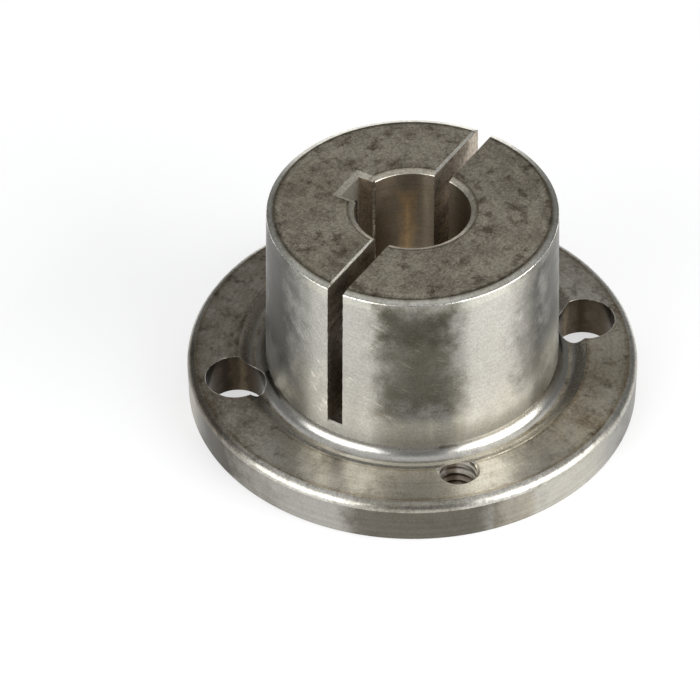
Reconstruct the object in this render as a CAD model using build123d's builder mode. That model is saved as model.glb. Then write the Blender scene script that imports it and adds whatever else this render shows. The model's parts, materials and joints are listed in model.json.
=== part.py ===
from build123d import *
import math
import os

# A split taper bushing, turned from one steel bar: a round flange, a barrel that
# tapers away from it, a keyed bore and a saw cut that lets the barrel close on a shaft.
# The back of the flange lies on z = 0 and the bore runs along Z, small end up.
# The keyway opens towards +Y and the saw cut runs along X.

# Flange
flange_diameter = 63.5
flange_thickness = 6.35
rim_round = 1.2
back_edge_break = 0.25

# Tapered barrel, with its large end at the flange's face
overall_length = 31.75
barrel_root_diameter = 41.275
diameter_lost_per_length = 0.75 / 12
end_chamfer_width = 0.9
end_chamfer_depth = 0.35

# Relief groove that the round-nosed tool leaves between the barrel and the flange's face
groove_nose_radius = 1.8
groove_depth = 1.375
groove_flank_angle = 45

# Bore and keyway
bore_diameter = 15.875
keyway_width = 4.7625
keyway_floor_from_axis = 10.0
mouth_chamfer_width = 0.8
mouth_chamfer_depth = 0.4

# Saw cut across the barrel
saw_cut_width = 2.38
saw_cut_floor_above_flange = 1.9

# Screw holes in the flange, two plain and two for the jacking screws
screw_circle_inset = 6.35
screw_hole_diameter = 8.33
first_screw_hole_angle = -45
jack_hole_diameter = 5.1
jack_hole_mouth_diameter = 6.0
jack_hole_mouth_angle = 90

# Worked out from the sizes above
flange_radius = flange_diameter / 2
screw_circle_radius = flange_radius - screw_circle_inset
barrel_lean = diameter_lost_per_length / 2
barrel_lean_angle = math.degrees(math.atan(barrel_lean))


def barrel_radius(height):
    """The barrel's radius at a height above the flange's back."""
    return barrel_root_diameter / 2 - (height - flange_thickness) * barrel_lean


# The groove's arc touches the barrel's wall and turns up into the straight outer flank
groove_centre_height = flange_thickness - groove_depth + groove_nose_radius
groove_wall_offset = groove_nose_radius * math.hypot(1, barrel_lean)
groove_centre = (barrel_radius(groove_centre_height) + groove_wall_offset, groove_centre_height)
groove_start_angle = 180 + barrel_lean_angle
groove_arc_size = 90 + groove_flank_angle - barrel_lean_angle

with BuildPart() as bushing:
    # The turned blank, still without its bore
    with BuildSketch(Plane.XZ) as half_section:
        with BuildLine() as outline:
            groove = CenterArc(
                groove_centre,
                groove_nose_radius,
                groove_start_angle,
                groove_arc_size,
            )
            flank = PolarLine(
                groove @ 1,
                flange_thickness - (groove @ 1).Y,
                groove_flank_angle,
                length_mode=LengthMode.VERTICAL,
            )
            Polyline(
                flank @ 1,
                (flange_radius, flange_thickness),
                (flange_radius, 0),
                (0, 0),
                (0, overall_length),
                (barrel_radius(overall_length), overall_length),
                groove @ 0,
            )
        make_face()
    revolve(axis=Axis.Z)

    round_edges = bushing.edges().filter_by(GeomType.CIRCLE)
    rim_edges = round_edges.group_by(SortBy.RADIUS)[-1].sort_by(Axis.Z)
    fillet(rim_edges[-1], radius=rim_round)
    chamfer(rim_edges[0], length=back_edge_break)
    small_end = bushing.faces().sort_by(Axis.Z)[-1]
    chamfer(
        small_end.outer_wire().edges(),
        length=end_chamfer_width,
        length2=end_chamfer_depth,
        reference=small_end,
    )

    # The bore, with a keyway broached along the whole of it
    Hole(radius=bore_diameter / 2)
    with BuildSketch(Plane.XY) as keyway:
        Rectangle(keyway_width, keyway_floor_from_axis, align=(Align.CENTER, Align.MIN))
    extrude(amount=overall_length, mode=Mode.SUBTRACT)

    # One shallow chamfer follows bore and keyway together, at both ends
    for end in (-1, 0):
        end_face = bushing.faces().sort_by(Axis.Z)[end]
        chamfer(
            end_face.inner_wires()[0].edges(),
            length=mouth_chamfer_width,
            length2=mouth_chamfer_depth,
            reference=end_face,
        )

    # The saw cut splits the barrel right across and stops short of the flange
    with Locations((0, 0, flange_thickness + saw_cut_floor_above_flange)):
        Box(
            flange_diameter,
            saw_cut_width,
            overall_length,
            align=(Align.CENTER, Align.CENTER, Align.MIN),
            mode=Mode.SUBTRACT,
        )

    # Plain holes for the pull-up screws, with the tapped jacking holes between them
    with Locations(Plane.XY.offset(flange_thickness)):
        with PolarLocations(screw_circle_radius, 2, start_angle=first_screw_hole_angle):
            Hole(radius=screw_hole_diameter / 2)
        with PolarLocations(screw_circle_radius, 2, start_angle=first_screw_hole_angle + 90):
            CounterSinkHole(
                radius=jack_hole_diameter / 2,
                counter_sink_radius=jack_hole_mouth_diameter / 2,
                counter_sink_angle=jack_hole_mouth_angle,
            )

bushing.part.label = "bushing"

os.makedirs("parts", exist_ok=True)
export_step(bushing.part, "parts/bushing.step")
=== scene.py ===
import json
import math

import bmesh
import bpy
from mathutils import Matrix, Vector, noise


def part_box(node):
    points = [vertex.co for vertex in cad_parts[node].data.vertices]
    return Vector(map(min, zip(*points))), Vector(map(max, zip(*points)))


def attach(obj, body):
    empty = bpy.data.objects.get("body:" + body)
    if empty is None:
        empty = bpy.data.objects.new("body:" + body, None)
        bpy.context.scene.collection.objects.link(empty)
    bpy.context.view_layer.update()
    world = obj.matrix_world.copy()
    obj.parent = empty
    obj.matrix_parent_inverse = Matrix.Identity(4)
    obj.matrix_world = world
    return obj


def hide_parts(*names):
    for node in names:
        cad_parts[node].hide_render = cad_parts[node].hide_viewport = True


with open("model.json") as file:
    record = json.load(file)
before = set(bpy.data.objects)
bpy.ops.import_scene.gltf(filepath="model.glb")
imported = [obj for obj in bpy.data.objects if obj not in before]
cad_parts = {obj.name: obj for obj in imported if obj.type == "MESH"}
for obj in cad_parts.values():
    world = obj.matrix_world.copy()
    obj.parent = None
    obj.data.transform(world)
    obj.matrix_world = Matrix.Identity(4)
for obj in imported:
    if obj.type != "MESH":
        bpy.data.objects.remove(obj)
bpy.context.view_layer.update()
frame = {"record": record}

# The turned blank. The bushing is one bar of free-cutting steel, turned in a lathe: the
# flange's two faces and rim, the taper, and the round-nosed relief groove between them.
# The flat faces keep a dull, oily, mottled skin, and the taper is brighter.

mm = 0.001
flange_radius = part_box("bushing")[1].x
overall_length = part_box("bushing")[1].z
flange_thickness = 6.35 * mm
rim_round = 1.2 * mm
back_edge_break = 0.25 * mm
barrel_root_radius = 20.6375 * mm
barrel_lean = 0.375 / 12
end_chamfer_width = 0.9 * mm
end_chamfer_depth = 0.35 * mm
groove_nose_radius = 1.8 * mm
groove_depth = 1.375 * mm
groove_flank_angle = math.radians(45)
fine_edge = 0.06 * mm
past = 1.0 * mm
turned_steps = 720
groove_steps = 24
rim_steps = 12
nearly_flat = 0.99


def colour_group(name, inputs, outputs):
    """An empty shader node group with its sockets, its nodes and links, and its two ends."""
    group = bpy.data.node_groups.new(name, "ShaderNodeTree")
    for socket, kind, value in inputs:
        made = group.interface.new_socket(name=socket, in_out="INPUT", socket_type=kind)
        made.default_value = value
    for socket, kind in outputs:
        group.interface.new_socket(name=socket, in_out="OUTPUT", socket_type=kind)
    start = group.nodes.new("NodeGroupInput")
    end = group.nodes.new("NodeGroupOutput")
    return group, start.outputs, end.inputs


def wire(tree, source, target):
    """Sets a socket from another socket, or from a plain number, colour or vector."""
    if isinstance(source, bpy.types.NodeSocket):
        tree.links.new(source, target)
    else:
        target.default_value = source


def arithmetic(tree, operation, *values, clamp=False):
    """The result of one Math node."""
    node = tree.nodes.new("ShaderNodeMath")
    node.operation = operation
    node.use_clamp = clamp
    for socket, value in zip(node.inputs, values):
        wire(tree, value, socket)
    return node.outputs[0]


def ramp(tree, value, low, high, bottom=0.0, top=1.0):
    """A value eased from bottom to top as it goes from low to high."""
    node = tree.nodes.new("ShaderNodeMapRange")
    node.interpolation_type = "SMOOTHSTEP"
    for socket, setting in zip(node.inputs, (value, low, high, bottom, top)):
        wire(tree, setting, socket)
    return node.outputs[0]


def speckle(tree, scale, detail=2.0, stretch=(1, 1, 1), coarse=0.5, place=None):
    """Noise over the piece, its scale in lumps per metre, with more grit as coarse rises."""
    if place is None:
        place = tree.nodes.new("ShaderNodeTexCoord").outputs["Object"]
    mapping = tree.nodes.new("ShaderNodeMapping")
    mapping.vector_type = "TEXTURE"
    mapping.inputs["Scale"].default_value = stretch
    tree.links.new(place, mapping.inputs["Vector"])
    texture = tree.nodes.new("ShaderNodeTexNoise")
    tree.links.new(mapping.outputs[0], texture.inputs["Vector"])
    wire(tree, scale, texture.inputs["Scale"])
    texture.inputs["Detail"].default_value = detail
    texture.inputs["Roughness"].default_value = coarse
    return texture.outputs["Fac"]


def blended(tree, mode, amount, under, over):
    """The colour of one Mix node."""
    node = tree.nodes.new("ShaderNodeMix")
    node.data_type = "RGBA"
    node.blend_type = mode
    wire(tree, amount, node.inputs["Factor"])
    wire(tree, under, node.inputs[6])
    wire(tree, over, node.inputs[7])
    return node.outputs[2]


def spread(tree, value):
    """A grey colour from one value."""
    node = tree.nodes.new("ShaderNodeCombineColor")
    for socket in node.inputs[:3]:
        tree.links.new(value, socket)
    return node.outputs[0]


def joined(tree, x, y):
    """A vector in the XY plane."""
    node = tree.nodes.new("ShaderNodeCombineXYZ")
    wire(tree, x, node.inputs["X"])
    wire(tree, y, node.inputs["Y"])
    return node.outputs[0]


def make_turned_place():
    """Where a point lies on a turned piece: unrolled round the axis, and across it."""
    group, _, result = colour_group(
        "turned_place",
        [],
        [
            ("Unrolled", "NodeSocketVector"),
            ("Across", "NodeSocketVector"),
            ("Angle", "NodeSocketFloat"),
            ("Radius", "NodeSocketFloat"),
            ("Height", "NodeSocketFloat"),
        ],
    )
    place = group.nodes.new("ShaderNodeTexCoord")
    parts = group.nodes.new("ShaderNodeSeparateXYZ")
    group.links.new(place.outputs["Object"], parts.inputs[0])
    angle = arithmetic(group, "ARCTAN2", parts.outputs["Y"], parts.outputs["X"])
    round_the_axis = arithmetic(group, "MULTIPLY", angle, barrel_root_radius)
    squares = [arithmetic(group, "POWER", parts.outputs[axis], 2.0) for axis in "XY"]
    radius = arithmetic(group, "SQRT", arithmetic(group, "ADD", *squares))
    wire(group, joined(group, round_the_axis, parts.outputs["Z"]), result["Unrolled"])
    wire(group, joined(group, radius, parts.outputs["Z"]), result["Across"])
    wire(group, angle, result["Angle"])
    wire(group, radius, result["Radius"])
    wire(group, parts.outputs["Z"], result["Height"])
    return group


def placed(tree, group, **values):
    """A group's node in a tree, with its inputs set."""
    node = tree.nodes.new("ShaderNodeGroup")
    node.node_tree = group
    for name, value in values.items():
        wire(tree, value, node.inputs[name])
    return node


# Scales of the skin's parts, in lumps per metre
cloud_scale = 230
patch_scale = 1700
spot_scale = 480
ring_scale = 2600
grain_scale = 3600


def make_oily_skin():
    """Mottled steel under a dried film of oil: clouds, spots, turned rings and grain."""
    group, given, result = colour_group(
        "oily_skin",
        [
            ("Clean", "NodeSocketColor", (0.5, 0.5, 0.5, 1)),
            ("Film", "NodeSocketColor", (0.3, 0.3, 0.3, 1)),
            ("Clouds", "NodeSocketFloat", 1.0),
            ("Spots", "NodeSocketFloat", 0.5),
            ("Rings", "NodeSocketFloat", 0.1),
            ("Grain", "NodeSocketFloat", 0.3),
        ],
        [("Color", "NodeSocketColor"), ("Film", "NodeSocketFloat")],
    )
    cloud = ramp(group, speckle(group, cloud_scale, 9.0, coarse=0.62), 0.38, 0.62)
    patchy = speckle(group, patch_scale, 5.0, coarse=0.7)
    patchy = ramp(group, patchy, 0.34, 0.66, -0.45, 0.45)
    cloud = arithmetic(group, "ADD", cloud, patchy, clamp=True)
    film = arithmetic(group, "MULTIPLY", cloud, given["Clouds"])
    skin = blended(group, "MIX", film, given["Clean"], given["Film"])
    spot = ramp(group, speckle(group, spot_scale, 8.0, coarse=0.64), 0.51, 0.67)
    spot = arithmetic(group, "MULTIPLY", spot, given["Spots"])
    skin = blended(group, "MULTIPLY", spot, skin, (0.4, 0.37, 0.34, 1))
    across = placed(group, turned_place).outputs["Across"]
    rings = ramp(group, speckle(group, ring_scale, 3.0, place=across), 0.25, 0.75, 0.3, 1.7)
    skin = blended(group, "MULTIPLY", given["Rings"], skin, spread(group, rings))
    grain = ramp(group, speckle(group, grain_scale, 3.0), 0.25, 0.75, 0.3, 1.7)
    skin = blended(group, "MULTIPLY", given["Grain"], skin, spread(group, grain))
    wire(group, skin, result["Color"])
    wire(group, film, result["Film"])
    return group


def radians(tree, degrees):
    """An angle socket turned from degrees."""
    return arithmetic(tree, "RADIANS", degrees)


ragged_edge_scale = 420
fine_edge_scale = 3000


def make_stain_and_shade_patch():
    """A mask over part of a turned wall, between two heights, with a ragged edge, used both for
    stains and for painted light and shade.
    """
    group, given, result = colour_group(
        "stain_and_shade_patch",
        [
            ("Middle", "NodeSocketFloat", 0.0),
            ("Reach", "NodeSocketFloat", 15.0),
            ("Bottom", "NodeSocketFloat", 0.0),
            ("Top", "NodeSocketFloat", 1.0),
            ("Edge", "NodeSocketFloat", 0.001),
        ],
        [("Mask", "NodeSocketFloat")],
    )
    place = placed(group, turned_place)
    ragged = ramp(group, speckle(group, ragged_edge_scale, 3.0), 0.2, 0.8, -0.6, 0.6)
    fine = ramp(group, speckle(group, fine_edge_scale, 3.0), 0.2, 0.8, -0.2, 0.2)
    ragged = arithmetic(group, "ADD", ragged, fine)
    ragged = arithmetic(group, "MULTIPLY", ragged, given["Edge"])
    away = arithmetic(group, "SUBTRACT", place.outputs["Angle"], radians(group, given["Middle"]))
    away = arithmetic(group, "ARCCOSINE", arithmetic(group, "COSINE", away))
    away = arithmetic(group, "SUBTRACT", away, radians(group, given["Reach"]))
    away = arithmetic(group, "MULTIPLY", away, barrel_root_radius)
    under = arithmetic(group, "SUBTRACT", given["Bottom"], place.outputs["Height"])
    over = arithmetic(group, "SUBTRACT", place.outputs["Height"], given["Top"])
    outside = arithmetic(group, "MAXIMUM", arithmetic(group, "MAXIMUM", under, over), away)
    outside = arithmetic(group, "ADD", outside, ragged)
    inner_edge = arithmetic(group, "MULTIPLY", given["Edge"], -1.0)
    wire(group, ramp(group, outside, inner_edge, given["Edge"], 1.0, 0.0), result["Mask"])
    return group


uneven_ring_scale = 700


def make_dirt_and_shade_ring():
    """A mask over a narrow, uneven ring at one radius from the axis, used both for dirt and for
    painted light and shade.
    """
    group, given, result = colour_group(
        "dirt_and_shade_ring",
        [("Radius", "NodeSocketFloat", 0.02), ("Width", "NodeSocketFloat", 0.0003)],
        [("Mask", "NodeSocketFloat")],
    )
    place = placed(group, turned_place)
    off_ring = arithmetic(group, "SUBTRACT", place.outputs["Radius"], given["Radius"])
    off_ring = arithmetic(group, "ABSOLUTE", off_ring)
    uneven = ramp(group, speckle(group, uneven_ring_scale, 5.0), 0.3, 0.7, 0.45, 1.4)
    reach = arithmetic(group, "MULTIPLY", given["Width"], uneven)
    wire(group, ramp(group, off_ring, 0.0, reach, 1.0, 0.0), result["Mask"])
    return group


uneven_glint_scale = 900


def make_hole_lip_glint():
    """A mask over a thin ring round a hole, painted with a highlight: the glint on the lip that
    a drill or a tap leaves.
    """
    group, given, result = colour_group(
        "hole_lip_glint",
        [
            ("Centre", "NodeSocketVector", (0, 0, 0)),
            ("Radius", "NodeSocketFloat", 0.004),
            ("Width", "NodeSocketFloat", 0.0001),
        ],
        [("Mask", "NodeSocketFloat")],
    )
    place = group.nodes.new("ShaderNodeTexCoord").outputs["Object"]
    flat = group.nodes.new("ShaderNodeVectorMath")
    flat.operation = "MULTIPLY"
    wire(group, place, flat.inputs[0])
    wire(group, (1, 1, 0), flat.inputs[1])
    away = group.nodes.new("ShaderNodeVectorMath")
    away.operation = "DISTANCE"
    wire(group, flat.outputs[0], away.inputs[0])
    wire(group, given["Centre"], away.inputs[1])
    outside = arithmetic(group, "SUBTRACT", away.outputs["Value"], given["Radius"])
    uneven = ramp(group, speckle(group, uneven_glint_scale, 4.0), 0.3, 0.7, 0.3, 1.5)
    reach = arithmetic(group, "MULTIPLY", given["Width"], uneven)
    wire(group, ramp(group, outside, 0.0, reach, 1.0, 0.0), result["Mask"])
    return group


scratch_scale = 1500
scratch_stretch = 16
scratch_break_scale = 350


def make_fine_scratches():
    """A mask of thin broken lines that all run about one way."""
    group, given, result = colour_group(
        "fine_scratches",
        [("Place", "NodeSocketVector", (0, 0, 0)), ("Cover", "NodeSocketFloat", 0.5)],
        [("Mask", "NodeSocketFloat")],
    )
    lines = speckle(
        group, scratch_scale, 1.0, (scratch_stretch, 1, 1), place=given["Place"]
    )
    off_line = arithmetic(group, "ABSOLUTE", arithmetic(group, "SUBTRACT", lines, 0.5))
    thin = ramp(group, off_line, 0.0, 0.03, 1.0, 0.0)
    broken = speckle(group, scratch_break_scale, 3.0, place=given["Place"])
    broken = ramp(group, broken, 0.5, 0.62)
    line = arithmetic(group, "MULTIPLY", thin, broken)
    wire(group, arithmetic(group, "MULTIPLY", line, given["Cover"]), result["Mask"])
    return group


turned_place = make_turned_place()
oily_skin = make_oily_skin()
stain_and_shade_patch = make_stain_and_shade_patch()
dirt_and_shade_ring = make_dirt_and_shade_ring()
hole_lip_glint = make_hole_lip_glint()
fine_scratches = make_fine_scratches()


def patch_mask(tree, middle, reach, bottom, top, edge):
    """Where a patch of stain or painted light and shade lies, from degrees round the axis and
    heights in millimetres.
    """
    patch = placed(
        tree,
        stain_and_shade_patch,
        Middle=middle,
        Reach=reach,
        Bottom=bottom * mm,
        Top=top * mm,
        Edge=edge * mm,
    )
    return patch.outputs["Mask"]


bump_scale = 900
# The near-white colour of the painted highlight round the holes.
lip_glint_colour = (1.0, 0.96, 0.88)


def steel(
    name,
    clean,
    film,
    roughness,
    anisotropic=0.0,
    bumps=0.0,
    lay=(1, 1, 1),
    patches=(),
    rings=(),
    lip_glints=(),
    rubbed_and_sheen=None,
    **skin_values,
):
    """
    A steel finish: its oily film darkens it, and its patches, rings and lip glints tint it,
    for stains and dirt, and as painted light: painted reflections, highlights and shade.

    A patch gives its middle and reach in degrees round the axis, its bottom, top and edge
    in millimetres, and its tint. A ring gives its radius, its width in millimetres and its
    tint, and a lip glint, a painted highlight round a hole, the place of its hole in degrees
    and the hole's radius. rubbed_and_sheen, a patch without a tint, thins the film there:
    wear, and a painted sheen.
    """
    material = bpy.data.materials.new(name)
    material.use_nodes = True
    tree = material.node_tree
    shader = tree.nodes["Principled BSDF"]
    shader.inputs["Metallic"].default_value = 1
    skin = placed(tree, oily_skin, Clean=(*clean, 1), Film=(*film, 1), **skin_values)
    if rubbed_and_sheen:
        kept = arithmetic(tree, "SUBTRACT", 1.0, patch_mask(tree, *rubbed_and_sheen))
        for socket in ("Clouds", "Spots"):
            whole = skin.inputs[socket].default_value
            wire(tree, arithmetic(tree, "MULTIPLY", kept, whole), skin.inputs[socket])
    colour = skin.outputs["Color"]
    for *where, tint in patches:
        colour = blended(tree, "MULTIPLY", patch_mask(tree, *where), colour, (*tint, 1))
    for radius, width, tint in rings:
        ring = placed(tree, dirt_and_shade_ring, Radius=radius, Width=width * mm)
        colour = blended(tree, "MULTIPLY", ring.outputs["Mask"], colour, (*tint, 1))
    for degrees, radius in lip_glints:
        glint = placed(
            tree, hole_lip_glint, Centre=on_circle(degrees), Radius=radius, Width=lip_glint_width
        )
        colour = blended(tree, "MIX", glint.outputs["Mask"], colour, (*lip_glint_colour, 1))
    wire(tree, colour, shader.inputs["Base Color"])
    worn = ramp(tree, skin.outputs["Film"], 0.0, 1.0, *roughness)
    wire(tree, worn, shader.inputs["Roughness"])
    if anisotropic:
        shader.inputs["Anisotropic"].default_value = anisotropic
        shader.inputs["Anisotropic Rotation"].default_value = 0.25
        turned = tree.nodes.new("ShaderNodeTangent")
        turned.direction_type = "RADIAL"
        turned.axis = "Z"
        tree.links.new(turned.outputs[0], shader.inputs["Tangent"])
    if bumps:
        bump = tree.nodes.new("ShaderNodeBump")
        bump.inputs["Distance"].default_value = bumps * mm
        wire(tree, speckle(tree, bump_scale, 3.0, lay), bump.inputs["Height"])
        tree.links.new(bump.outputs[0], shader.inputs["Normal"])
    return material


def on_circle(degrees):
    """The place of a hole on the screw circle."""
    angle = math.radians(degrees)
    return (screw_circle_radius * math.cos(angle), screw_circle_radius * math.sin(angle), 0)


def scratched(material, amount, turn, tint, *where):
    """Adds fine scratches, at a slant in degrees, to a patch of a turned wall."""
    tree = material.node_tree
    shader = tree.nodes["Principled BSDF"]
    slant = tree.nodes.new("ShaderNodeMapping")
    slant.inputs["Rotation"].default_value = (0, 0, math.radians(turn))
    place = placed(tree, turned_place).outputs["Unrolled"]
    tree.links.new(place, slant.inputs["Vector"])
    cover = arithmetic(tree, "MULTIPLY", patch_mask(tree, *where), amount)
    lines = placed(tree, fine_scratches, Place=slant.outputs[0], Cover=cover)
    under = shader.inputs["Base Color"].links[0].from_socket
    over = blended(tree, "MULTIPLY", lines.outputs["Mask"], under, (*tint, 1))
    wire(tree, over, shader.inputs["Base Color"])


def barrel_radius(height):
    """The taper's radius at a height above the flange's back."""
    return barrel_root_radius - (height - flange_thickness) * barrel_lean


def arc(centre, radius, start, end, steps):
    """Points along an arc in the (radius, height) plane."""
    angles = [start + (end - start) * i / steps for i in range(steps + 1)]
    return [(centre[0] + radius * math.cos(a), centre[1] + radius * math.sin(a)) for a in angles]


mounts = {mount["name"]: mount for mount in frame["record"]["mounts"]}
bore_radius = mounts["shaft_bore"]["dims"]["r_mm"] * mm
mouth_width = 0.8 * mm
screw_circle_radius = mounts["pull_up_screws"]["dims"]["pcd_mm"] / 2 * mm
screw_hole_radius = mounts["pull_up_screws"]["dims"]["hole_r_mm"] * mm
jack_mouth_radius = 2.85 * mm
lip_glint_width = 0.16 * mm
hole_lip_glints = [
    (-45, screw_hole_radius),
    (45, jack_mouth_radius),
    (135, screw_hole_radius),
    (225, jack_mouth_radius),
]
rim_centre = (flange_radius - rim_round, flange_thickness - rim_round)
groove_height = flange_thickness - groove_depth + groove_nose_radius
groove_centre = (
    barrel_radius(groove_height) + groove_nose_radius * math.hypot(1, barrel_lean),
    groove_height,
)
groove_arc = arc(
    groove_centre,
    groove_nose_radius,
    math.pi + math.atan(barrel_lean),
    1.5 * math.pi + groove_flank_angle,
    groove_steps,
)
flank_foot = groove_arc[-1]
shoulder = flank_foot[0] + (flange_thickness - flank_foot[1]) / math.tan(groove_flank_angle)
end_radius = barrel_radius(overall_length - end_chamfer_depth)

faced_steel = steel(
    "faced_steel",
    (0.45, 0.401, 0.317),
    (0.26, 0.227, 0.177),
    (0.44, 0.5),
    bumps=0.02,
    patches=[
        (105, 16, 20, 40, 3.0, (0.86, 0.85, 0.83)),
        (165, 10, 20, 40, 3.0, (0.86, 0.85, 0.83)),
        (330, 24, 20, 40, 3.0, (0.9, 0.9, 0.89)),
    ],
    rings=[
        (end_radius - end_chamfer_width - 0.15 * mm, 0.5, (0.38, 0.36, 0.32)),
        (bore_radius + mouth_width + 0.1 * mm, 0.35, (0.55, 0.52, 0.48)),
    ],
    Clouds=0.9,
    Spots=0.95,
    Grain=0.42,
)
flange_steel = steel(
    "flange_steel",
    (0.6, 0.565, 0.49),
    (0.255, 0.222, 0.178),
    (0.3, 0.5),
    bumps=0.004,
    # Painted reflections: the patches lighten and darken the face round the axis, lightest in
    # front of the taper.
    patches=[
        (112, 42, 0, 9, 5.0, (0.55, 0.52, 0.48)),
        (212, 28, 0, 9, 4.0, (1.62, 1.63, 1.68)),
        (286, 26, 0, 9, 5.0, (0.98, 0.94, 0.87)),
        (262, 9, 0, 9, 4.0, (1.25, 1.22, 1.16)),
        (290, 7, 0, 9, 2.5, (0.76, 0.74, 0.7)),
    ],
    rings=[
        (shoulder + 0.25 * mm, 0.4, (0.75, 0.71, 0.66)),
        (flange_radius - rim_round - 0.1 * mm, 0.6, (0.62, 0.58, 0.52)),
    ],
    lip_glints=hole_lip_glints,
    # Thinner film in front: wear, and a painted sheen that lightens the face there.
    rubbed_and_sheen=(213, 41, 0, 9, 4.0),
    Clouds=0.9,
    Spots=0.85,
    Grain=0.2,
    Rings=0.12,
)
taper_steel = steel(
    "taper_steel",
    (0.36, 0.35, 0.318),
    (0.32, 0.31, 0.275),
    (0.34, 0.38),
    anisotropic=1.0,
    bumps=0.005,
    # Painted reflections: all but the last patch paint the dark and bright bands the taper
    # mirrors, lighter low down in places and at its top; the last is a thin dark mark.
    patches=[
        (213, 15, 12.5, 30.5, 2.4, (0.52, 0.51, 0.47)),
        (211, 13, 25, 31, 1.6, (0.6, 0.59, 0.56)),
        (214, 9, 14, 27, 3.5, (0.72, 0.71, 0.67)),
        (214, 14, 5, 11, 1.4, (1.7, 1.66, 1.56)),
        (252, 22, 0, 9.2, 1.5, (0.66, 0.64, 0.6)),
        (142, 16, 12, 40, 4.0, (0.28, 0.28, 0.28)),
        (163, 10, 5, 16, 4.0, (1.4, 1.37, 1.3)),
        (281, 13, 15, 40, 5.0, (0.42, 0.42, 0.41)),
        (263, 9, 12, 40, 2.5, (0.55, 0.54, 0.53)),
        (147, 9, 2, 9, 2.5, (2.2, 2.15, 2.0)),
        (280, 12, 0, 15, 4.0, (2.2, 2.15, 2.0)),
        (213, 181, 30.0, 40, 0.5, (1.2, 1.2, 1.17)),
        (221, 3.6, 12.8, 12.95, 0.25, (0.45, 0.42, 0.38)),
    ],
    Clouds=0.4,
    Spots=0.08,
    Grain=0.2,
    Rings=0.06,
)
scratched(taper_steel, 0.9, 50, (1.6, 1.62, 1.65), 162, 20, 9, 31, 3.0)
scratched(taper_steel, 0.8, -50, (1.5, 1.5, 1.5), 262, 14, 14, 30, 3.0)
scratched(taper_steel, 0.8, 25, (1.7, 1.7, 1.65), 206, 16, 9, 29, 3.0)
groove_steel = steel(
    "groove_steel",
    (0.5, 0.487, 0.455),
    (0.4, 0.382, 0.352),
    (0.26, 0.33),
    anisotropic=0.3,
    # Painted light and shade: the patches darken and lighten the groove round the axis.
    patches=[
        (100, 45, -2, 9, 4.0, (0.6, 0.56, 0.52)),
        (252, 20, -2, 9, 4.0, (1.5, 1.48, 1.42)),
        (325, 50, -2, 9, 4.0, (0.75, 0.72, 0.68)),
    ],
    # Painted light: the ring lightens the groove's flank.
    rings=[(shoulder - 0.5 * mm, 1.0, (1.2, 1.2, 1.2))],
    lip_glints=hole_lip_glints,
    Clouds=0.35,
    Spots=0.15,
    Grain=0.1,
    Rings=0.12,
)
rim_steel = steel(
    "rim_steel",
    (0.31, 0.3, 0.275),
    (0.265, 0.255, 0.228),
    (0.3, 0.36),
    anisotropic=0.9,
    bumps=0.008,
    # Painted reflections: the patches darken and lighten bands round the rim; the second is a
    # small dark mark below the rounding.
    patches=[
        (213, 18, -2, 6.5, 1.5, (0.42, 0.4, 0.36)),
        (236.5, 5.5, -2, 5.2, 0.5, (0.85, 0.81, 0.74)),
        (153, 8, -2, 6.5, 2.0, (0.4, 0.375, 0.34)),
        (135, 6, -2, 6.5, 1.5, (1.7, 1.68, 1.64)),
        (255, 13, -2, 6.5, 2.5, (1.3, 1.29, 1.24)),
        (297, 21, -2, 9, 3.5, (0.48, 0.47, 0.44)),
        (125, 45, -2, 9, 4.0, (0.58, 0.56, 0.53)),
    ],
    Clouds=0.4,
    Spots=0.12,
    Grain=0.15,
)
rounded_steel = steel(
    "rounded_steel",
    (0.56, 0.545, 0.5),
    (0.4, 0.385, 0.34),
    (0.3, 0.4),
    anisotropic=0.4,
    bumps=0.01,
    # Painted shade: the patches darken the rounding in bands round the axis, against its
    # highlight.
    patches=[
        (210, 14, -2, 9, 1.5, (0.6, 0.58, 0.54)),
        (275, 30, -2, 9, 3.0, (0.75, 0.74, 0.72)),
        (125, 45, -2, 9, 4.0, (0.55, 0.53, 0.5)),
        (138, 20, -2, 9, 1.5, (0.55, 0.52, 0.48)),
    ],
    Clouds=0.6,
    Spots=0.6,
    Grain=0.35,
)
edge_steel = steel(
    "edge_steel",
    (0.54, 0.525, 0.47),
    (0.4, 0.385, 0.33),
    (0.3, 0.38),
    bumps=0.01,
    rings=[(end_radius - end_chamfer_width, 0.35, (0.5, 0.48, 0.44))],
    Clouds=0.6,
    Spots=0.3,
    Grain=0.25,
)
burnished_glint_steel = steel(
    "burnished_glint_steel",
    (0.85, 0.83, 0.78),
    (0.4, 0.38, 0.33),
    (0.24, 0.34),
    # Painted highlight: the edges are bare burnished metal, and the patch darkens them all round
    # but the front, so that they shine there only.
    patches=[(30, 130, 0, 9, 4.0, (0.35, 0.33, 0.3))],
    Clouds=0.9,
    Spots=0.5,
    Grain=0.9,
)
blank_finishes = [
    faced_steel,
    flange_steel,
    taper_steel,
    groove_steel,
    rim_steel,
    rounded_steel,
    edge_steel,
    burnished_glint_steel,
]


def spun(outline, steps):
    """A closed bmesh turned about Z from a list of (radius, height) points."""
    bm = bmesh.new()
    row = [bm.verts.new((radius, 0, height)) for radius, height in outline]
    for a, b in zip(row, row[1:]):
        bm.edges.new((a, b))
    bmesh.ops.spin(
        bm,
        geom=bm.verts[:] + bm.edges[:],
        cent=(0, 0, 0),
        axis=(0, 0, 1),
        angle=math.tau,
        steps=steps,
        use_merge=True,
    )
    bmesh.ops.remove_doubles(bm, verts=bm.verts, dist=1e-7)
    bmesh.ops.recalc_face_normals(bm, faces=bm.faces)
    return bm


def into_object(bm, name, finishes):
    """An object at the origin that holds the bmesh, which is freed."""
    mesh = bpy.data.meshes.new(name)
    bm.to_mesh(mesh)
    bm.free()
    for finish in finishes:
        mesh.materials.append(finish)
    piece = bpy.data.objects.new(name, mesh)
    bpy.context.scene.collection.objects.link(piece)
    return piece


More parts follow.
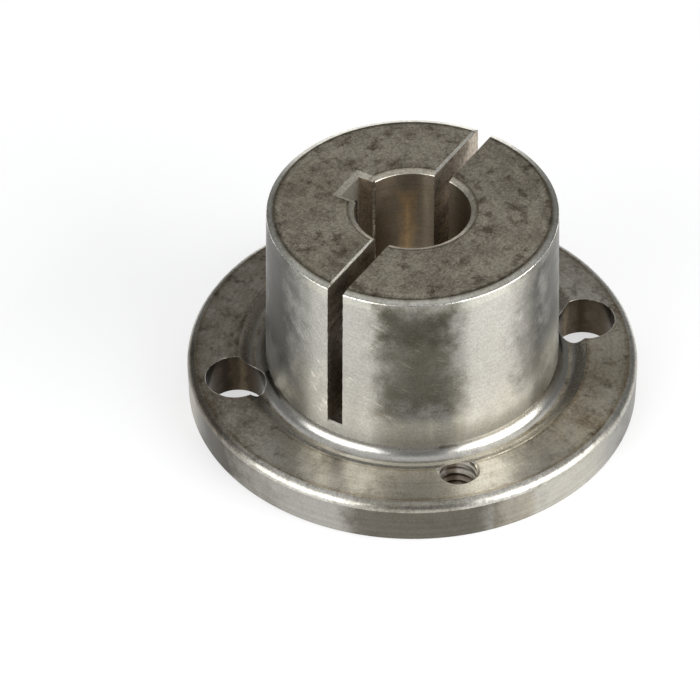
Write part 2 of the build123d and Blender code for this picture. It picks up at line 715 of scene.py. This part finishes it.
outline = [(0, 0), (flange_radius - back_edge_break, 0), (flange_radius, back_edge_break)]
outline += arc(rim_centre, rim_round, 0, math.pi / 2, rim_steps)
outline += [(shoulder + fine_edge, flange_thickness)]
outline += [(shoulder - fine_edge, flange_thickness - fine_edge)]
outline += groove_arc[::-1]
outline += [
    (end_radius + fine_edge * barrel_lean, overall_length - end_chamfer_depth - fine_edge),
    (end_radius - fine_edge, overall_length - end_chamfer_depth + fine_edge / 2),
    (end_radius - end_chamfer_width, overall_length),
    (0, overall_length),
]
blank = spun(outline, turned_steps)
for face in blank.faces:
    middle = face.calc_center_median()
    radius = math.hypot(middle.x, middle.y)
    on_top = middle.z > overall_length - end_chamfer_depth - fine_edge
    if abs(face.normal.z) > nearly_flat:
        finish = faced_steel if middle.z > flange_thickness + past else flange_steel
    elif radius > flange_radius - rim_round:
        on_rounding = middle.z > flange_thickness - rim_round
        finish = rounded_steel if on_rounding else rim_steel
    elif on_top:
        finish = burnished_glint_steel if radius > end_radius - fine_edge else edge_steel
    elif radius > shoulder - fine_edge:
        finish = burnished_glint_steel
    elif middle.z > groove_height:
        finish = taper_steel
    else:
        finish = groove_steel
    face.material_index = blank_finishes.index(finish)

# Handling has left the rim slightly uneven, with a few nicks, each at an angle in degrees
# and a height in millimetres.
rim_waviness = 0.006 * mm
rim_wave_scale = 700
nick_size = 0.5 * mm
nick_depth = 0.07 * mm
nicks = [(216, 6.0), (219, 5.9), (228, 6.1), (236, 5.2), (196, 6.2), (95, 6.0), (340, 5.8)]
nick_places = [
    Vector(
        (
            flange_radius * math.cos(math.radians(degrees)),
            flange_radius * math.sin(math.radians(degrees)),
            height * mm,
        )
    )
    for degrees, height in nicks
]
for vert in blank.verts:
    radius = math.hypot(vert.co.x, vert.co.y)
    if radius < flange_radius - rim_round:
        continue
    sunk = rim_waviness * noise.noise(vert.co * rim_wave_scale)
    for place in nick_places:
        near = 1 - (vert.co - place).length / nick_size
        sunk += nick_depth * max(near, 0)
    vert.co.xy *= 1 - sunk / radius
bushing_body = into_object(blank, "bushing_body", blank_finishes)


# The bore and its keyway, bored and then broached right through, with one shallow
# chamfer round both at each end. Oil has dried brown on their walls.

keyway_width = 4.7625 * mm
keyway_floor = 10.0 * mm
mouth_depth = 0.4 * mm
corner_break = 0.2 * mm
bore_steps = 360

bored_steel = steel(
    "bored_steel",
    (0.34, 0.29, 0.222),
    (0.27, 0.222, 0.168),
    (0.34, 0.42),
    anisotropic=0.8,
    bumps=0.008,
    # Painted reflection: a warm bright streak down the bore with a thin bright line in it, and
    # darker bands beside it.
    patches=[
        (36, 7, 2, 27.5, 2.0, (1.6, 1.38, 1.08)),
        (36, 1.5, 2, 26, 0.8, (1.35, 1.3, 1.2)),
        (22, 9, -2, 40, 2.6, (0.95, 0.96, 0.95)),
        (75, 22, -2, 40, 4.0, (0.8, 0.75, 0.7)),
    ],
    Clouds=0.6,
    Spots=0.2,
    Grain=0.15,
)
broached_steel = steel(
    "broached_steel",
    (0.46, 0.38, 0.29),
    (0.36, 0.29, 0.22),
    (0.42, 0.5),
    bumps=0.01,
    Grain=0.3,
)
# A lighter copy of broached_steel for the keyway's floor: painted light.
keyway_floor_lit_steel = steel(
    "keyway_floor_lit_steel",
    (0.85, 0.83, 0.74),
    (0.66, 0.63, 0.54),
    (0.42, 0.5),
    bumps=0.01,
    Grain=0.3,
)
mouth_steel = steel(
    "mouth_steel",
    (0.56, 0.52, 0.44),
    (0.36, 0.325, 0.265),
    (0.38, 0.46),
    bumps=0.01,
    rings=[(bore_radius + mouth_width, 0.4, (0.6, 0.57, 0.52))],
    Clouds=0.7,
    Spots=0.5,
    Grain=0.3,
)


def cut_away(piece, tool):
    """Cuts the tool's solid out of the piece and removes the tool."""
    cut = piece.modifiers.new("cut", "BOOLEAN")
    cut.operation = "DIFFERENCE"
    cut.solver = "EXACT"
    cut.object = tool
    cut.material_mode = "TRANSFER"
    bpy.context.view_layer.update()
    shaped = piece.evaluated_get(bpy.context.evaluated_depsgraph_get())
    mesh = bpy.data.meshes.new_from_object(shaped)
    piece.modifiers.clear()
    piece.data = mesh
    bpy.data.objects.remove(tool)


def block(low, high, top_low=None, top_high=None):
    """A bmesh block between two corners, whose top may be wider than its foot."""
    bm = bmesh.new()
    bmesh.ops.create_cube(bm, size=1)
    for vert in bm.verts:
        on_top = vert.co.z > 0
        lowest = top_low if on_top and top_low else low
        highest = top_high if on_top and top_high else high
        flat = [lowest[i] if vert.co[i] < 0 else highest[i] for i in range(2)]
        vert.co = (*flat, high[2] if on_top else low[2])
    return bm


flare = mouth_width * (1 + past / mouth_depth)
bore_outline = [
    (0, -past),
    (bore_radius + flare, -past),
    (bore_radius + fine_edge, mouth_depth - fine_edge / 2),
    (bore_radius, mouth_depth + fine_edge),
    (bore_radius, overall_length - mouth_depth - fine_edge),
    (bore_radius + fine_edge, overall_length - mouth_depth + fine_edge / 2),
    (bore_radius + flare, overall_length + past),
    (0, overall_length + past),
]
bore_tool = spun(bore_outline, bore_steps)
for face in bore_tool.faces:
    middle = face.calc_center_median()
    in_mouth = abs(middle.z - overall_length / 2) > overall_length / 2 - mouth_depth - fine_edge
    face.material_index = 1 if in_mouth else 0
cut_away(bushing_body, into_object(bore_tool, "bore_tool", [bored_steel, mouth_steel]))

half_key = keyway_width / 2
keyway_tool = block((-half_key, 0, -past), (half_key, keyway_floor, overall_length + past))
for face in keyway_tool.faces:
    face.material_index = 1 if face.calc_center_median().y > keyway_floor - fine_edge else 0
keyway_finishes = [broached_steel, keyway_floor_lit_steel]
cut_away(bushing_body, into_object(keyway_tool, "keyway_tool", keyway_finishes))
for side in (1, -1):
    corner_tool = block(
        (-corner_break, -corner_break, -past),
        (corner_break, corner_break, overall_length + past),
    )
    quarter_turn = Matrix.Rotation(math.pi / 4, 3, "Z")
    bmesh.ops.rotate(corner_tool, matrix=quarter_turn, verts=corner_tool.verts)
    corner = (side * half_key, math.sqrt(bore_radius**2 - half_key**2), 0)
    bmesh.ops.translate(corner_tool, vec=corner, verts=corner_tool.verts)
    cut_away(bushing_body, into_object(corner_tool, "corner_tool", [burnished_glint_steel]))
for facing in (1, -1):
    mouth_tool = block(
        (-half_key, 0, overall_length - mouth_depth),
        (half_key, keyway_floor, overall_length + past),
        (-half_key - flare, -flare),
        (half_key + flare, keyway_floor + flare),
    )
    if facing < 0:
        bmesh.ops.scale(mouth_tool, vec=(1, 1, -1), verts=mouth_tool.verts)
        bmesh.ops.translate(mouth_tool, vec=(0, 0, overall_length), verts=mouth_tool.verts)
        bmesh.ops.reverse_faces(mouth_tool, faces=mouth_tool.faces)
    cut_away(bushing_body, into_object(mouth_tool, "mouth_tool", [mouth_steel]))


# The saw cut, made last with a slitting saw right across the barrel, so that the two
# halves can close on a shaft. It stops short of the flange and keeps the saw's marks.

saw_cut_width = 2.38 * mm
saw_cut_floor = flange_thickness + 1.9 * mm
saw_wander = 0.06 * mm
saw_rows = 70
saw_columns = 60
wander_scale = (250, 5, 1000)
ragged_scale = (700, 900)
foot_burr = 0.5 * mm
top_break_depth = 0.3 * mm
half_saw = saw_cut_width / 2

sawn_steel = steel(
    "sawn_steel",
    (0.46, 0.4, 0.32),
    (0.26, 0.22, 0.17),
    (0.4, 0.5),
    bumps=0.03,
    lay=(10, 1, 1),
    # Painted light: the patch lightens the walls of the cut's far half below its top, against
    # the shade inside the cut.
    patches=[(0, 28, 0, 26.5, 1.5, (1.25, 1.2, 1.15))],
    Grain=0.5,
)

saw_tool = block(
    (-barrel_root_radius - past, -half_saw, saw_cut_floor),
    (barrel_root_radius + past, half_saw, overall_length + past),
)
upright = [e for e in saw_tool.edges if abs(e.verts[0].co.z - e.verts[1].co.z) > past]
bmesh.ops.subdivide_edges(saw_tool, edges=upright, cuts=saw_rows, use_grid_fill=True)
lengthwise = [e for e in saw_tool.edges if abs(e.verts[0].co.x - e.verts[1].co.x) > past]
bmesh.ops.subdivide_edges(saw_tool, edges=lengthwise, cuts=saw_columns, use_grid_fill=True)
for vert in saw_tool.verts:
    side = math.copysign(1, vert.co.y)
    along, between, upward = wander_scale
    wander = noise.noise(Vector((vert.co.x * along, side * between, vert.co.z * upward)))
    vert.co.y += wander * saw_wander
    if vert.co.z < saw_cut_floor + fine_edge:
        along, between = ragged_scale
        ragged = noise.noise(Vector((vert.co.x * along, vert.co.y * between, 3)))
        vert.co.z += ragged * saw_wander
        if abs(vert.co.x) > barrel_root_radius - fine_edge:
            vert.co.z -= foot_burr * (1 + ragged)
for face in saw_tool.faces:
    middle = face.calc_center_median()
    at_foot = middle.z < saw_cut_floor + fine_edge and abs(middle.x) > barrel_root_radius - past
    face.material_index = 1 if at_foot else 0
cut_away(bushing_body, into_object(saw_tool, "saw_tool", [sawn_steel, edge_steel]))

# The cut's top edges are broken by hand, more on the keyway's side. Each half of the cut
# gives the way it faces along X, then the widths broken on the keyway's side and the other.
top_breaks = [(-1, 0.2 * mm, 0.06 * mm), (1, 0.32 * mm, 0.08 * mm)]
for facing, keyway_side, other_side in top_breaks:
    ends = sorted((0, facing * (barrel_root_radius + past)))
    widening = 1 + past / top_break_depth
    break_tool = block(
        (ends[0], -half_saw, overall_length - top_break_depth),
        (ends[1], half_saw, overall_length + past),
        (ends[0], -half_saw - other_side * widening),
        (ends[1], half_saw + keyway_side * widening),
    )
    cut_away(bushing_body, into_object(break_tool, "break_tool", [edge_steel]))


# The holes in the flange: two plain ones for the screws that draw the bushing into its
# hub, and two tapped ones, 1/4 in with 20 threads to the inch, for those that push it out.

jack_radius = mounts["jack_hole_1"]["dims"]["r_mm"] * mm
thread_pitch = 1.27 * mm
thread_root_radius = 3.0 * mm
thread_root_flat = 0.1 * mm
thread_flank_angle = math.radians(30)
thread_turns = 9
turns_below = 2
thread_steps = 72
thread_start = {45: 0.0, 225: 204.0}
run_out_slope = 4
hole_steps = 144
crease_angle = math.radians(14)

drilled_steel = steel(
    "drilled_steel",
    (0.07, 0.055, 0.038),
    (0.052, 0.04, 0.027),
    (0.22, 0.3),
    bumps=0.005,
    # Painted light and shade: the patch darkens one hole's wall, and the rings paint a light
    # band and a dark band down the walls.
    patches=[(126, 8, -2, 9, 1.0, (0.65, 0.64, 0.63))],
    rings=[(24.0 * mm, 0.9, (2.1, 2.08, 2.0)), (26.4 * mm, 1.5, (0.5, 0.49, 0.47))],
    Clouds=0.5,
    Spots=0.2,
    Grain=0.15,
)
tapped_steel = steel(
    "tapped_steel",
    (0.62, 0.585, 0.52),
    (0.5, 0.46, 0.4),
    (0.3, 0.38),
    patches=[
        # The patches make the hole at 225 degrees darker low down, with a thin dark strip up it.
        (225, 12, -1, 3.4, 0.6, (0.35, 0.315, 0.28)),
        (224.5, 1.8, -1, 5.3, 0.4, (0.4, 0.35, 0.3)),
    ],
    Clouds=0.6,
    Grain=0.2,
)


def on_screw_circle(bm, degrees):
    """Moves a bmesh from the axis to its place on the screw circle."""
    bmesh.ops.translate(bm, vec=on_circle(degrees), verts=bm.verts)


def thread_tool(start):
    """The tap's solid: a right-hand thread that runs out to a plain core at both ends."""
    flank = (thread_root_radius - jack_radius) * math.tan(thread_flank_angle)
    crest = thread_pitch - thread_root_flat - 2 * flank
    bm = bmesh.new()
    row = []
    for turn in range(thread_turns):
        foot = (turn - turns_below) * thread_pitch
        for radius, height in (
            (jack_radius, 0),
            (jack_radius, crest),
            (thread_root_radius, crest + flank),
            (thread_root_radius, crest + flank + thread_root_flat),
        ):
            row.append(bm.verts.new((radius, 0, foot + height)))
    for a, b in zip(row, row[1:]):
        bm.edges.new((a, b))
    bmesh.ops.spin(
        bm,
        geom=bm.verts[:] + bm.edges[:],
        cent=(0, 0, 0),
        axis=(0, 0, 1),
        dvec=(0, 0, thread_pitch / thread_steps),
        angle=math.tau,
        steps=thread_steps,
    )
    lowest, highest = -past, flange_thickness + past
    for vert in bm.verts:
        beyond = max(lowest / 2 - vert.co.z, vert.co.z - (highest + flange_thickness) / 2, 0)
        radius = math.hypot(vert.co.x, vert.co.y)
        kept = max(radius - beyond * run_out_slope, jack_radius) / radius
        height = min(max(vert.co.z, lowest), highest)
        vert.co = (vert.co.x * kept, vert.co.y * kept, height)
    bmesh.ops.remove_doubles(bm, verts=bm.verts, dist=1e-6)
    bmesh.ops.dissolve_degenerate(bm, edges=bm.edges, dist=1e-6)
    bmesh.ops.holes_fill(bm, edges=[e for e in bm.edges if e.is_boundary])
    bmesh.ops.recalc_face_normals(bm, faces=bm.faces)
    bmesh.ops.rotate(bm, matrix=Matrix.Rotation(math.radians(start), 3, "Z"), verts=bm.verts)
    return bm


for degrees in (-45, 135):
    hole_tool = spun(
        [
            (0, -past),
            (screw_hole_radius, -past),
            (screw_hole_radius, flange_thickness - fine_edge),
            (screw_hole_radius + fine_edge + past, flange_thickness + past),
            (0, flange_thickness + past),
        ],
        hole_steps,
    )
    for face in hole_tool.faces:
        if face.normal.z < -0.1 and face.calc_center_median().z > 0:
            face.material_index = 1
    on_screw_circle(hole_tool, degrees)
    cut_away(bushing_body, into_object(hole_tool, "hole_tool", [drilled_steel, burnished_glint_steel]))
for degrees in (45, 225):
    countersink = spun(
        [
            (0, flange_thickness - jack_mouth_radius),
            (jack_mouth_radius + past, flange_thickness + past),
            (0, flange_thickness + past),
        ],
        hole_steps,
    )
    on_screw_circle(countersink, degrees)
    cut_away(bushing_body, into_object(countersink, "countersink", [burnished_glint_steel]))
    tap = thread_tool(thread_start[degrees])
    on_screw_circle(tap, degrees)
    cut_away(bushing_body, into_object(tap, "tap", [tapped_steel]))

bushing_body.data.shade_smooth()
bushing_body.data.set_sharp_from_angle(angle=crease_angle)
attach(bushing_body, "root")
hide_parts("bushing")


# The room: a pale floor, a soft box on either side, a low strip behind, a dim panel above
# and a dim pale surround. The floor shows white, and keeps a soft shadow.

floor_radius = 3.0
floor_steps = 96
floor_grey = (0.45, 0.45, 0.45)
floor_glow = 0.58
floor_glow_in_metal = 0.8
room_colour = (0.95, 0.98, 1.0)
room_strength = 0.25

floor_bm = bmesh.new()
bmesh.ops.create_circle(floor_bm, cap_ends=True, segments=floor_steps, radius=floor_radius)
floor_paint = bpy.data.materials.new("floor_paint")
floor_paint.use_nodes = True
floor = into_object(floor_bm, "floor", [floor_paint])

tree = floor_paint.node_tree
paint = tree.nodes["Principled BSDF"]
paint.inputs["Base Color"].default_value = (*floor_grey, 1)
paint.inputs["Roughness"].default_value = 1.0
paint.inputs["Specular IOR Level"].default_value = 0.0
paint.inputs["Emission Color"].default_value = (1, 1, 1, 1)
path = tree.nodes.new("ShaderNodeLightPath")
seen_direct = arithmetic(tree, "MULTIPLY", path.outputs["Is Camera Ray"], floor_glow)
mirrored = (path.outputs["Is Glossy Ray"], path.outputs["Is Transmission Ray"])
seen_mirrored = arithmetic(tree, "MAXIMUM", *mirrored)
seen_mirrored = arithmetic(tree, "MULTIPLY", seen_mirrored, floor_glow_in_metal)
glow = arithmetic(tree, "ADD", seen_direct, seen_mirrored)
wire(tree, glow, paint.inputs["Emission Strength"])

world = bpy.data.worlds.new("room")
world.use_nodes = True
surround = world.node_tree.nodes["Background"]
surround.inputs["Color"].default_value = (*room_colour, 1)
surround.inputs["Strength"].default_value = room_strength
bpy.context.scene.world = world

view_azimuth = math.radians(-57.688)


def soft_box(name, azimuth, elevation, distance, width, height, radiance):
    """An area lamp that faces the bushing, at degrees round from the camera and above it."""
    turn = view_azimuth + math.radians(azimuth)
    tilt = math.radians(elevation)
    back = Vector(
        (math.sin(turn) * math.cos(tilt), -math.cos(turn) * math.cos(tilt), math.sin(tilt))
    )
    lamp = bpy.data.lights.new(name, "AREA")
    lamp.shape = "RECTANGLE"
    lamp.size = width
    lamp.size_y = height
    lamp.energy = radiance * math.pi * width * height
    holder = bpy.data.objects.new(name, lamp)
    holder.location = back * distance
    holder.rotation_euler = (-back).to_track_quat("-Z", "Y").to_euler()
    bpy.context.scene.collection.objects.link(holder)


soft_box("left_box", -51, 21, distance=0.8, width=0.75, height=0.6, radiance=3.7)
soft_box("right_box", 62, 21, distance=0.8, width=0.8, height=0.6, radiance=5.4)
soft_box("back_strip", 180, 6, distance=1.2, width=0.7, height=0.25, radiance=2.4)
soft_box("ceiling_panel", 0, 89, distance=1.0, width=1.5, height=1.5, radiance=0.5)

camera_target = Vector((-4.68, 7.41, 6.01)) * mm
camera_elevation = math.radians(42.09)
camera_distance = 426.26 * mm
camera_roll = math.radians(-0.876)

camera_data = bpy.data.cameras.new("camera")
camera_data.sensor_width = 36
camera_data.lens = 155.34
camera_data.clip_start = 0.01
camera = bpy.data.objects.new("camera", camera_data)
camera_back = Vector(
    (
        math.sin(view_azimuth) * math.cos(camera_elevation),
        -math.cos(view_azimuth) * math.cos(camera_elevation),
        math.sin(camera_elevation),
    )
)
camera.location = camera_target + camera_back * camera_distance
aim = (-camera_back).to_track_quat("-Z", "Y").to_matrix()
camera.rotation_euler = (aim @ Matrix.Rotation(camera_roll, 3, "Z")).to_euler()
bpy.context.scene.collection.objects.link(camera)
bpy.context.scene.camera = camera
bpy.context.scene.view_settings.view_transform = "Standard"
